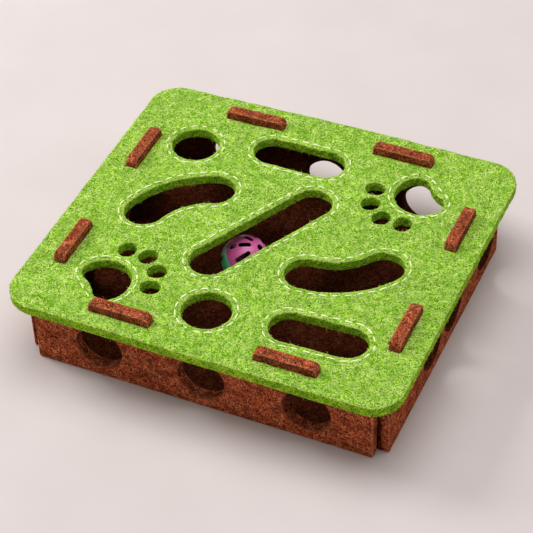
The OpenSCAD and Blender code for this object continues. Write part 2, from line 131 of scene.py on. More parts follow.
def wall_path(left, right, tabs, tab_l):
    """A wall's outline: the board's rectangle with round-topped tabs on its upper edge."""
    c, inner, r = WALL_CORNER, TAB_FOOT, TAB_CORNER
    path = [((left + c, 0), (right - c, 0)), ((right - c, c), c, -90, 90),
            ((right, c), (right, WALL_H - c)), ((right - c, WALL_H - c), c, 0, 90)]
    x = right - c
    for t in sorted(tabs, reverse=True):
        a, b = t + tab_l / 2, t - tab_l / 2
        path += [((x, WALL_H), (a + inner, WALL_H)), ((a + inner, WALL_H + inner), inner, 270, -90),
                 ((a, WALL_H + inner), (a, TAB_TOP - r)), ((a - r, TAB_TOP - r), r, 0, 90),
                 ((a - r, TAB_TOP), (b + r, TAB_TOP)), ((b + r, TAB_TOP - r), r, 90, 90),
                 ((b, TAB_TOP - r), (b, WALL_H + inner)), ((b - inner, WALL_H + inner), inner, 0, -90)]
        x = b - inner
    return path + [((x, WALL_H), (left + c, WALL_H)), ((left + c, WALL_H - c), c, 90, 90),
                   ((left, WALL_H - c), (left, c)), ((left + c, c), c, 180, 90)]


def walk(path, step, at=(0, 0), turn=0.0):
    """Points along a closed path and the heading at each, a step apart and closer on tight arcs,
    turned about the path's own origin and moved to its place."""
    points, headings = [], []
    for p in path:
        if len(p) == 2:
            a, b = np.array(p[0], float), np.array(p[1], float)
            n = max(1, int(np.ceil(np.hypot(*(b - a)) / step)))
            s = np.arange(n)[:, None] / n
            points.append(a + (b - a) * s)
            headings.append(np.full(n, np.arctan2(*(b - a)[::-1])))
        else:
            c, r, first, sweep = p
            n = max(2, int(np.ceil(r * abs(np.radians(sweep)) / min(step, 0.35 * r))))
            a = np.radians(first + sweep * np.arange(n) / n)
            points.append(np.array(c) + r * np.stack([np.cos(a), np.sin(a)], 1))
            headings.append(a + np.sign(sweep) * np.pi / 2)
    points, headings, t = np.concatenate(points), np.concatenate(headings), np.radians(turn)
    spin = np.array([[np.cos(t), np.sin(t)], [-np.sin(t), np.cos(t)]])
    return points @ spin + np.array(at), headings + t


def bent_place(middle, turn):
    """Where a bent band's centre of curvature lies, from the middle of the band."""
    t = np.radians(turn)
    return middle[0] - BENT_R * np.cos(t), middle[1] - BENT_R * np.sin(t)


# Unevenness: felt is never quite flat, straight or square

def ripple(points, seed, length, count=28):
    """Smooth unevenness of about one: a sum of plane waves of about that length in random directions."""
    rng = np.random.default_rng(seed)
    k = rng.normal(size=(count, points.shape[1]))
    k *= (2 * np.pi / length * rng.uniform(0.6, 1.5, (count, 1))) / np.linalg.norm(k, axis=1, keepdims=True)
    return np.cos(points @ k.T + rng.uniform(0, 2 * np.pi, count)).sum(1) * np.sqrt(2 / count)


def ease(t):
    """A smooth step from nought to one."""
    t = np.clip(t, 0, 1)
    return t * t * (3 - 2 * t)


# The back left corner: how far it sits in, and where that begins and over what length, across and along
CORNER_IN, CORNER_ACROSS, CORNER_ALONG = 4.4, (30, 190), (80, 70)


def settle(xyz):
    """The box isn't quite square: its back left corner sits a few millimetres further in, by the product
    of a smooth step leftwards and one backwards."""
    xyz = xyz.copy()
    left = ease((CORNER_ACROSS[0] - xyz[:, 0]) / CORNER_ACROSS[1])
    xyz[:, 1] -= CORNER_IN * left * ease((xyz[:, 1] - CORNER_ALONG[0]) / CORNER_ALONG[1])
    return xyz


# Meshes

def make_piece(name, verts, faces, body, slot, nodes=(), maps={}, **attributes):
    """A mesh object at the origin from points in millimetres, riding on its body. maps are its UV maps,
    a pair for each corner of each face, and attributes are values at its points."""
    mesh = bpy.data.meshes.new(name)
    mesh.from_pydata(np.asarray(verts) * MM, [], np.asarray(faces).tolist())
    mesh.polygons.foreach_set("use_smooth", np.ones(len(mesh.polygons), bool))
    for key, values in maps.items():
        mesh.uv_layers.new(name=key).uv.foreach_set("vector", np.asarray(values, np.float32).ravel())
    for key, values in attributes.items():
        mesh.attributes.new(key, "FLOAT", "POINT").data.foreach_set("value", values.astype(np.float32))
    mesh.validate()
    mesh.update()
    piece = bpy.data.objects.new(name, mesh)
    bpy.context.scene.collection.objects.link(piece)
    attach(piece, body)
    if nodes:
        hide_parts(*nodes)
    return piece


def inside(points, loop):
    """Whether each point lies in the closed loop: it crosses an odd number of sides on its way right."""
    a, b = loop, np.roll(loop, -1, 0)
    x, y = points[:, 0, None], points[:, 1, None]
    crosses = (a[:, 1] > y) != (b[:, 1] > y)
    with np.errstate(divide="ignore", invalid="ignore"):
        at = a[:, 0] + (y - a[:, 1]) / (b[:, 1] - a[:, 1]) * (b[:, 0] - a[:, 0])
    return (crosses & (x < at)).sum(1) % 2 == 1


def in_chunks(work, points, other, size=2000):
    """Runs a function of points and one other array on a few thousand points at a time."""
    return np.concatenate([work(points[i:i + size], other) for i in range(0, max(1, len(points)), size)])


def on_board(points, loops):
    """Whether each point lies in the first loop and in none of the others."""
    good = in_chunks(inside, points, loops[0])
    for hole in loops[1:]:
        good &= ~in_chunks(inside, points, hole)
    return good


def nearest(points, others):
    """Distance from each point to the nearest of the others."""
    return np.sqrt(((points[:, None] - others[None]) ** 2).sum(2).min(1))


def fill(loops, spacing, seed):
    """Triangles between closed loops, the first of them outermost, over a jittered grid of inner points.
    Returns the inner points and the triangles, whose numbers count the loops' points first."""
    rng = np.random.default_rng(seed)
    edge = np.concatenate(loops)
    low, high = loops[0].min(0), loops[0].max(0)
    gx, gy = np.meshgrid(np.arange(low[0], high[0], spacing), np.arange(low[1], high[1], spacing * 0.87))
    gx[1::2] += spacing / 2
    grid = np.stack([gx.ravel(), gy.ravel()], 1) + rng.uniform(-0.22, 0.22, (gx.size, 2)) * spacing
    grid = grid[on_board(grid, loops)]
    grid = grid[in_chunks(nearest, grid, edge, 400) > 0.55 * spacing]
    first = np.cumsum([0] + [len(l) for l in loops])
    sides = [(int(s + i), int(s + (i + 1) % len(l))) for s, l in zip(first, loops) for i in range(len(l))]
    points = np.concatenate([edge, grid])
    _, _, tris, origin, _, _ = delaunay_2d_cdt(points.tolist(), sides, [], 0, 1e-6)
    number = np.array([o[0] if o else -1 for o in origin])
    tris = number[np.array([t[:] for t in tris])]
    tris = tris[(tris >= 0).all(1)]
    return grid, tris[on_board(points[tris].mean(1), loops)]


# Cut edges lie beyond the faces on a board's flat map, each on a strip of its own
CUT_MAP_START, CUT_MAP_STEP = 600, 40


def felt_board(outline, holes, thick, spacing, seed, hole_painted_shade=0.0):
    """A felt board in its own plane: u and v in the plane, w through it from 0 to its thickness. Its two
    faces are filled triangles, and every cut edge is a profile carried along its path: a quarter round off
    the upper face, the straight cut, and a quarter round onto the lower face. A path is its points, its
    headings and its edge's radius. Returns the points, the triangles, their flat coordinates (u and v on a
    face, distance along and down on a cut edge), how much each point belongs to a cut edge, and how much
    painted shade it takes: as much as it lies towards the lower face, while a hole's cut edge takes as much
    as the hole's painted shade says."""
    bend = np.radians(np.linspace(0, 90, 5))
    rows = np.linspace(0, 1, 6)[1:-1]
    verts, faces, flats, cuts, painted_shades = [], [], [], [], []
    tops, bottoms, top_ids, bottom_ids, count = [], [], [], [], 0
    for number, (p, heading, r) in enumerate([outline] + holes):
        off = np.concatenate([r * (1 - np.sin(bend)), 0 * rows, r * (1 - np.cos(bend))])
        deep = np.concatenate([thick - r * (1 - np.cos(bend)), thick - r - (thick - 2 * r) * rows,
                               r * (1 - np.sin(bend))])
        cut = np.concatenate([np.sin(bend) ** 2, 0 * rows + 1, np.cos(bend) ** 2])
        n, m, side = len(p), len(off), -1 if number else 1
        into = side * np.stack([-np.sin(heading), np.cos(heading)], 1)
        ring = p[None] + into[None] * off[:, None, None]
        levels = np.broadcast_to(deep[:, None, None], (m, n, 1))
        verts.append(np.concatenate([ring, levels], 2).reshape(-1, 3))
        cuts.append(np.repeat(cut, n))
        # painted shade: a hole's arris is painted a little darker than its straight cut
        base = hole_painted_shade * ((cut > 0.1) + 3 * cut * (1 - cut) * (1 - hole_painted_shade)) * (number > 0)
        painted_shades.append(np.repeat(np.where(np.arange(m) < m - len(bend), base, 1 - cut * (1 - base)), n))
        along = np.concatenate([[0], np.cumsum(np.hypot(*(np.roll(p, -1, 0) - p).T))])
        down = np.concatenate([[0], np.cumsum(np.hypot(np.diff(off), np.diff(deep)))])
        down = CUT_MAP_START + CUT_MAP_STEP * number + down
        k, i = (x.ravel() for x in np.meshgrid(np.arange(m - 1), np.arange(n), indexing="ij"))
        corner = [(k, i), (k + 1, i), (k + 1, i + 1), (k, i + 1)]
        quad = np.stack([a * n + b % n for a, b in corner], 1) + count
        flat = np.stack([np.stack([along[b], down[a]], 1) for a, b in corner], 1)
        for pick in ([0, 1, 2], [0, 2, 3]):
            pick = pick[::side]
            faces.append(quad[:, pick])
            flats.append(flat[:, pick])
        tops.append(ring[0])
        bottoms.append(ring[-1])
        top_ids.append(count + np.arange(n))
        bottom_ids.append(count + (m - 1) * n + np.arange(n))
        count += m * n
    for loops, ids, level, gap in ((tops, top_ids, thick, spacing), (bottoms, bottom_ids, 0.0, 2 * spacing)):
        grid, tris = fill(loops, gap, seed)
        points = np.concatenate(loops + [grid])
        up = np.cross(points[tris[:, 1]] - points[tris[:, 0]], points[tris[:, 2]] - points[tris[:, 0]]) > 0
        tris = np.where((up == (level > 0))[:, None], tris, tris[:, ::-1])
        faces.append(np.concatenate(ids + [count + np.arange(len(grid))])[tris])
        flats.append(points[tris])
        verts.append(np.concatenate([grid, np.full((len(grid), 1), level)], 1))
        cuts.append(np.zeros(len(grid)))
        painted_shades.append(np.full(len(grid), 1.0 - level / thick))
        count += len(grid)
    return [np.concatenate(x) for x in (verts, faces, flats, cuts, painted_shades)]


# Loose fibres: thin curled strands that lie on the felt and stand off its cut edges

STRAND_RINGS = 6
STRAND_POINTS = 3 * STRAND_RINGS


def strands(roots, along, up, length, thick, curl, seed):
    """Strands of three sides that taper to a closed tip. A strand's line leaves its root along a direction,
    wanders sideways as two sines and bows up off the felt as half a sine. Its map holds its own shade and
    the way along it."""
    rng = np.random.default_rng(seed)
    n = len(roots)
    way = np.linspace(0, 1, STRAND_RINGS)
    t = way[None, :, None]
    across = np.cross(up, along)
    phase, wave = rng.uniform(0, 2 * np.pi, (2, n, 1, 1)), rng.uniform(0.4, 1.3, (2, n, 1, 1))
    sway = sum(np.sin(2 * np.pi * wave[q] * t + phase[q]) - np.sin(phase[q]) for q in (0, 1)) * 0.5
    line = (roots[:, None] + along[:, None] * t * length[:, None, None]
            + across[:, None] * sway * (curl * length)[:, None, None]
            + up[:, None] * np.sin(np.pi * t) * (0.03 * length + 0.1)[:, None, None])
    a = np.arange(3) / 3 * 2 * np.pi
    width = (thick[:, None] * (1 - 0.75 * way[None] ** 2))[:, :, None, None]
    spokes = across[:, None, None] * np.cos(a)[:, None] + up[:, None, None] * np.sin(a)[:, None]
    ring = line[:, :, None] + width * spokes
    k, i = (x.ravel() for x in np.meshgrid(np.arange(STRAND_RINGS - 1), np.arange(3), indexing="ij"))
    a, b, c, d = (r * 3 + q % 3 for r, q in ((k, i), (k, i + 1), (k + 1, i + 1), (k + 1, i)))
    ends = [(2, 1, 0), (STRAND_POINTS - 3, STRAND_POINTS - 2, STRAND_POINTS - 1)]
    tris = np.concatenate([np.stack([a, b, c], 1), np.stack([a, c, d], 1), ends])
    faces = (tris[None] + (np.arange(n) * STRAND_POINTS)[:, None, None]).reshape(-1, 3)
    ways = way[tris // 3]
    shades = np.broadcast_to(rng.uniform(0, 1, n)[:, None, None], (n, *ways.shape))
    uv = np.stack([shades, np.broadcast_to(ways, shades.shape)], -1) * 0.94 + 0.03
    return ring.reshape(-1, 3), faces, uv


def board_fibres(outline, holes, thick, count, edge_count, seed,
                 favour=lambda p: np.ones(len(p)), reach=(3.5, 11.0)):
    """Strands on a board, in its own plane: some lie on its upper face where both their ends stay on the
    board, the rest stand off its cut edges. favour weighs the places along the edges, and reach is the
    range of lengths on the face."""
    rng = np.random.default_rng(seed)
    loops = [outline[0]] + [h[0] for h in holes]
    low, high = loops[0].min(0), loops[0].max(0)
    spot = rng.uniform(low, high, (3 * count, 2))
    turn = rng.uniform(0, 2 * np.pi, 3 * count)
    length = rng.uniform(*reach, 3 * count) * rng.uniform(0.6, 1, 3 * count)
    heading = np.stack([np.cos(turn), np.sin(turn)], 1)
    span = heading * length[:, None]
    good = on_board(spot, loops) & on_board(spot + span, loops) & on_board(spot + span / 2, loops)
    keep = np.flatnonzero(good)[:count]
    n = len(keep)
    roots = [np.c_[spot[keep], np.full(n, thick)]]
    ways, ups = [np.c_[heading[keep], np.zeros(n)]], [np.tile((0.0, 0.0, 1.0), (n, 1))]
    lengths = [length[keep]]
    points = np.concatenate(loops)
    headings = np.concatenate([outline[1]] + [h[1] for h in holes])
    side = np.concatenate([np.full(len(l), -1.0 if i else 1.0) for i, l in enumerate(loops)])
    weight = favour(points)
    pick = rng.choice(len(points), edge_count, p=weight / weight.sum())
    out = side[pick, None] * np.stack([np.sin(headings[pick]), -np.cos(headings[pick])], 1)
    tangent = np.stack([np.cos(headings[pick]), np.sin(headings[pick])], 1)
    turn = rng.uniform(0, 2 * np.pi, edge_count)
    way = np.c_[tangent * np.cos(turn)[:, None] + 0.35 * out, np.sin(turn)]
    roots.append(np.c_[points[pick] + rng.uniform(-0.7, 0.7, (edge_count, 1)) * tangent - 0.1 * out,
                       rng.uniform(0.08, 0.92, edge_count) * thick])
    ways.append(way / np.linalg.norm(way, axis=1, keepdims=True))
    ups.append(np.c_[out, np.zeros(edge_count)])
    lengths.append(rng.uniform(1.2, 3.6, edge_count))
    roots, ways, ups, lengths = (np.concatenate(x) for x in (roots, ways, ups, lengths))
    thin = rng.uniform(0.08, 0.16, len(roots))
    return strands(roots, ways, ups, lengths, thin, rng.uniform(0.08, 0.28, len(roots)), seed + 1)


# Lid: a round opening is a long one that is hardly longer than it is wide
long_sizes = {"round": (ROUND_D, ROUND_D - 0.01), "track": (TRACK_L, TRACK_W), "slant": (SLANT_L, SLANT_W)}
opening_paths = {
    "round_back": (long_path(*long_sizes["round"]), ROUND_BACK, 0),
    "round_front": (long_path(*long_sizes["round"]), ROUND_FRONT, 0),
    "track_back": (long_path(*long_sizes["track"]), TRACK_BACK, 0),
    "track_front": (long_path(*long_sizes["track"]), TRACK_FRONT, TRACK_FRONT_TURN),
    "slant": (long_path(*long_sizes["slant"]), SLANT, SLANT_TURN),
    "bent_left": (bent_path(), bent_place(BENT_LEFT, BENT_LEFT_TURN), BENT_LEFT_TURN),
    "bent_right": (bent_path(), bent_place(BENT_RIGHT, BENT_RIGHT_TURN), BENT_RIGHT_TURN),
    "pad_front": (pad_path(), PAW_FRONT, PAW_TURN),
    "pad_back": (pad_path(), PAW_BACK, PAW_TURN + 180),
}
lid_holes = [(*walk(path, EDGE_STEP, at, turn), OPENING_EDGE_R) for path, at, turn in opening_paths.values()]
for paw, turn in ((PAW_FRONT, PAW_TURN), (PAW_BACK, PAW_TURN + 180)):
    for r, a in TOES:
        t = np.radians(turn + a)
        at = (paw[0] + r * np.cos(t), paw[1] + r * np.sin(t))
        lid_holes.append((*walk(long_path(TOE_L, TOE_W), TOE_STEP, at, turn + a), TOE_EDGE_R))
tab_slots = [((x, y), (TAB_L, WALL_T))
             for y, tabs in ((FLOOR_FRONT - WALL_T / 2, FRONT_TABS), (SIDE_BACK + WALL_T / 2, BACK_TABS))
             for x in tabs]
tab_slots += [((side * (FLOOR_W / 2 - lean + WALL_T / 2), y), (WALL_T, SIDE_TAB_L))
              for side, lean, tabs in ((-1, LEFT_LEAN, LEFT_TABS), (1, RIGHT_LEAN, RIGHT_TABS)) for y in tabs]
for at, (w, d) in tab_slots:
    slot = box_path(w + 2 * SLOT_CLEAR, d + 2 * SLOT_CLEAR, SLOT_CORNER)
    lid_holes.append((*walk(slot, EDGE_STEP, at), SLOT_EDGE_R))
lid_outline = (*walk(box_path(LID_W, LID_D, LID_CORNER), EDGE_STEP), LID_EDGE_R)


def lid_place(u, v, w):
    """The lid's own plane in the room: it lies on the walls, very slightly wavy."""
    waves = 0.16 * ripple(np.stack([u, v], 1), 11, 34) * (w > LID_T / 2)
    return settle(np.stack([u, v, WALL_H + w + waves], 1))


verts, faces, flat, cut, _ = felt_board(lid_outline, lid_holes, LID_T, LID_GRID, 1)
verts[:, :2] += 0.2 * np.stack([ripple(verts, 13, 4.5), ripple(verts, 14, 4.5)], 1) * cut[:, None]
lid = make_piece("lid_felt", lid_place(*verts.T), faces, "lid", "lime_felt", ["lid_panel"],
                 {"flat": flat}, cut=cut)
lid_fibres = []
for name, count, edge_count, seed in (("lid_fibres", 6200, 0, 60), ("lid_fuzz", 0, 4800, 64)):
    verts, faces, uv = board_fibres(lid_outline, lid_holes, LID_T, count, edge_count, seed)
    lid_fibres.append(make_piece(name, lid_place(*verts.T), faces, "lid", "lime_felt", maps={"OFBake": uv}))


# Tray

def lean_at(height, lean):
    """How far a wall has leaned over at a height: none below, then a smooth bend up to the lid."""
    return lean * ease((height - WALL_H + LEAN_H) / LEAN_H)


# Painted shade: how dark the holes' cut edges and the tabs' faces are painted, from nought to one, and how
# far the painted dark of the open corners reaches across the side walls' ends
HOLE_PAINTED_SHADE = {"front_wall": 0.38, "back_wall": 0.95, "right_wall": 0.95, "left_wall": 0.95}
TAB_PAINTED_SHADE = 0.36
CORNER_PAINTED_SHADE = {"right_wall": 4.5, "left_wall": 8.5}
FACE_FIBRES, EDGE_FIBRES, WALL_REACH = 900, 1300, (1.5, 5.0)
GROUND_GAP = 0.1
walls, wall_fibres = [], []
for number, (name, left, right, tabs, tab_l, holes, place) in enumerate((
        ("front_wall", -FLOOR_W / 2, FLOOR_W / 2, FRONT_TABS, TAB_L, LONG_HOLES,
         lambda u, v, w: (u, FLOOR_FRONT - w, v)),
        ("back_wall", -FLOOR_W / 2, FLOOR_W / 2, [-x for x in BACK_TABS], TAB_L, [-x for x in LONG_HOLES],
         lambda u, v, w: (-u, FLOOR_BACK + lean_at(v, BACK_LEAN) + w, v)),
        ("right_wall", FLOOR_FRONT, SIDE_BACK, RIGHT_TABS, SIDE_TAB_L, SIDE_HOLES,
         lambda u, v, w: (FLOOR_W / 2 - lean_at(v, RIGHT_LEAN) + w, u, v)),
        ("left_wall", -SIDE_BACK, -FLOOR_FRONT, [-y for y in LEFT_TABS], SIDE_TAB_L, [-y for y in SIDE_HOLES],
         lambda u, v, w: (-FLOOR_W / 2 + lean_at(v, LEFT_LEAN) - w, -u, v)))):
    outline = (*walk(wall_path(left, right, tabs, tab_l), EDGE_STEP), WALL_EDGE_R)
    loops = [(*walk([((x, HOLE_Z), HOLE_D / 2, 0, 360)], EDGE_STEP), WALL_EDGE_R) for x in holes]
    verts, faces, flat, cut, inner = felt_board(outline, loops, WALL_T, WALL_GRID, 2, HOLE_PAINTED_SHADE[name])
    # above the lid the inner face takes no painted shade, and a tab is painted a little darker than its wall,
    # as painted shade
    inner *= ease((LID_TOP - verts[:, 1]) / 4)
    inner = np.maximum(inner, TAB_PAINTED_SHADE * (1 - cut) * ease((verts[:, 1] - LID_TOP + 3) / 3))
    if name in CORNER_PAINTED_SHADE:
        # painted shade in the open corners: a side wall's ends are painted dark beside the wall that they
        # meet
        at_end = np.abs(verts[:, 0] - (left + right) / 2) > (right - left) / 2 - 1
        inner = np.maximum(inner, at_end * ease((CORNER_PAINTED_SHADE[name] - verts[:, 2]) / 2))
    xyz = settle(np.stack(place(*verts.T), 1))
    # the inner attribute carries the painted shade into the felt's colour
    walls.append(make_piece(name + "_felt", xyz, faces, "tray", "brown_felt", [name], {"flat": flat},
                            cut=cut, inner=inner))
    verts, faces, uv = board_fibres(outline, loops, WALL_T, FACE_FIBRES, EDGE_FIBRES, 70 + number,
                                    lambda p: 1 + 6.0 * (p[:, 1] > LID_TOP), WALL_REACH)
    xyz = settle(np.stack(place(*verts.T), 1))
    # a strand at the wall's foot is lifted clear of the ground
    sunk = np.minimum(xyz[:, 2].reshape(-1, STRAND_POINTS).min(1) - GROUND_GAP, 0)
    xyz[:, 2] -= np.repeat(sunk, STRAND_POINTS)
    wall_fibres.append(make_piece(name + "_fibres", xyz, faces, "tray", "brown_felt", maps={"OFBake": uv}))

floor_path = box_path(FLOOR_W, FLOOR_BACK - FLOOR_FRONT, FLOOR_CORNER)
floor_outline = (*walk(floor_path, FLOOR_STEP, (0, (FLOOR_BACK + FLOOR_FRONT) / 2)), FLOOR_EDGE_R)
verts, faces, flat, cut, _ = felt_board(floor_outline, [], FLOOR_T, FLOOR_GRID, 3)
verts[:, 2] += 0.12 * ripple(verts[:, :2], 31, 26) * (verts[:, 2] > FLOOR_T / 2)
# painted shade: the whole floor takes the full dark of the tray's inner faces
tray_floor = make_piece("floor_felt", settle(verts), faces, "tray", "brown_felt", ["floor_panel"],
                        {"flat": flat}, cut=cut, inner=np.ones(len(verts)))


# Seams: each stitch is a two-ply thread that comes out of the felt, lies on it and goes back in

# How deep a stitch's ends go and how high its middle stands, and the oval of a thread that is pressed flat
STITCH_BURY, STITCH_PROUD = 0.55, 0.16
FLAT_WIDE, FLAT_HIGH = 1.2, 0.55


def stitches(path, at, turn, seed):
    """Thread along a seam. A stitch's middle line follows the seam's route and rises out of the felt and
    falls back as a flattened half cosine; round it goes a flat oval profile that twists along it, which
    gives the two plies, and narrows to its ends."""
    rng = np.random.default_rng(seed)
    points, headings = walk(path, STITCH_STEP, at, turn)
    reach = np.concatenate([[0], np.cumsum(np.hypot(*(np.roll(points, -1, 0) - points).T))])
    total = reach[-1]
    loop, turns = np.concatenate([points, points[:1]]), np.unwrap(np.concatenate([headings, headings[:1]]))
    n = max(3, round(total / (STITCH_L + STITCH_GAP)))
    rings, sides = 12, 10
    number = np.arange(n)[:, None]
    t = np.linspace(-0.5, 0.5, rings)[None]
    around = np.arange(sides) / sides * 2 * np.pi
    verts = []
    for upper, share, length in ((True, 0.25, STITCH_L), (False, 0.75, STITCH_GAP)):
        long = (length + 0.5) * rng.uniform(0.86, 1.08, (n, 1))
        s = ((number + share) * total / n + t * long + rng.normal(0, 0.2, (n, 1))) % total
        x, y, h = (np.interp(s, reach, v) for v in (loop[:, 0], loop[:, 1], turns))
        swell = np.cos(np.pi * t * 0.94) ** 0.3
        sink = rng.uniform(-0.1, 0.1, (n, 1))
        rise = (sink + STITCH_BURY) * swell - STITCH_BURY + STITCH_PROUD
        z = LID_TOP + rise if upper else WALL_H - rise
        slide = rng.normal(0, 0.16, (n, 1)) + rng.normal(0, 0.2, (n, 1)) * 2 * t
        oval = (FLAT_WIDE * THREAD_R * swell * rng.uniform(0.82, 1.1, (n, 1)))[..., None]
        oval = oval * (1 + 0.16 * np.cos(2 * (around - 2.1 * (t * long)[..., None] - number[..., None])))
        over, lift = slide[..., None] + oval * np.cos(around), FLAT_HIGH * oval * np.sin(around)
        x, y, z, h = (v[..., None] for v in (x, y, z, h))
        verts.append(np.stack([x + np.sin(h) * over, y - np.cos(h) * over, z + lift], -1).reshape(-1, 3))
    k, i = (x.ravel() for x in np.meshgrid(np.arange(rings - 1), np.arange(sides), indexing="ij"))
    j = (i + 1) % sides
    one = [np.stack([k * sides + i, k * sides + j, (k + 1) * sides + j, (k + 1) * sides + i], 1)]
    q = np.arange(sides // 2 - 1)
    cap = np.stack([q, q + 1, sides - 2 - q, sides - 1 - q], 1)
    one += [cap[:, ::-1], cap + (rings - 1) * sides]
    faces = (np.concatenate(one)[None] + (np.arange(2 * n) * rings * sides)[:, None, None]).reshape(-1, 4)
    return np.concatenate(verts), faces[:, ::-1]


seams = []
for number, (name, (_, at, turn)) in enumerate(opening_paths.items()):
    kind = name.split("_")[0]
    if kind == "bent":
        route = bent_path(SEAM_INSET)
    elif kind == "pad":
        route = pad_seam_path()
    else:
        route = long_path(*(size + 2 * SEAM_INSET for size in long_sizes[kind]))
    verts, faces = stitches(route, at, turn, 40 + number)
    seams.append(make_piece("seam_" + name + "_thread", settle(verts), faces, "lid", "thread",
                            ["seam_" + name]))


# Materials

def shade(code):
    """An sRGB hex colour as linear red, green, blue and full alpha."""
    c = np.array([int(code[i:i + 2], 16) for i in (0, 2, 4)]) / 255
    return (*np.where(c <= 0.04045, c / 12.92, ((c + 0.055) / 1.055) ** 2.4), 1.0)


def add(tree, kind, inputs=(), **settings):
    """Adds one node: settings are its own, and an input takes a value or another node's output."""
    node = tree.nodes.new("ShaderNode" + kind)
    for key, value in settings.items():
        setattr(node, key, value)
    for key, value in dict(inputs).items():
        if isinstance(value, bpy.types.NodeSocket):
            tree.links.new(value, node.inputs[key])
        else:
            node.inputs[key].default_value = value
    return node


def new_material(name):
    """An empty node material with its output and surface shader."""
    material = bpy.data.materials.new(name)
    material.use_nodes = True
    tree = material.node_tree
    return material, tree, tree.nodes["Principled BSDF"]


def colour_ramp(tree, value, stops):
    """Colours over a value, from places to hex colours."""
    ramp = add(tree, "ValToRGB", {"Fac": value})
    for number, (at, code) in enumerate(stops.items()):
        stop = ramp.color_ramp.elements[number] if number < 2 else ramp.color_ramp.elements.new(at)
        stop.position, stop.color = at, shade(code)
    return ramp.outputs["Color"]


def per_mm(size):
    """A texture's scale for features of that size in millimetres."""
    return 1 / (size * MM)


def fibre_layer(tree, flat, size, width, shift):
    """One layer of short curved fibres: scattered cells, each crossed by one line that is turned its own
    way and bows to one side. Returns how much of a fibre a point is, and the fibre's own shade."""
    moved = add(tree, "VectorMath", {0: flat, 1: (shift, 2.3 * shift, 0)}, operation="ADD").outputs[0]
    cell = add(tree, "TexVoronoi", {"Vector": moved, "Scale": 1 / size}, voronoi_dimensions="2D")
    local = add(tree, "VectorMath", {0: moved, 1: cell.outputs["Position"]}, operation="SUBTRACT").outputs[0]
    own = add(tree, "SeparateColor", {0: cell.outputs["Color"]}).outputs
    angle = add(tree, "Math", {0: own[0], 1: 2 * np.pi}, operation="MULTIPLY").outputs[0]
    turned = add(tree, "VectorRotate", {"Vector": local, "Angle": angle}, rotation_type="Z_AXIS").outputs[0]
    x, y, _ = add(tree, "SeparateXYZ", {0: turned}).outputs
    bow = add(tree, "MapRange", {"Value": own[1], "To Min": -0.8 / size, "To Max": 0.8 / size}).outputs[0]
    far = add(tree, "Math", {0: x, 1: x}, operation="MULTIPLY").outputs[0]
    off = add(tree, "Math", {0: far, 1: bow, 2: y}, operation="MULTIPLY_ADD").outputs[0]
    off = add(tree, "Math", {0: off}, operation="ABSOLUTE").outputs[0]
    line = add(tree, "MapRange", {"Value": off, "From Min": width, "From Max": 0.35 * width}).outputs[0]
    return line, own[2]


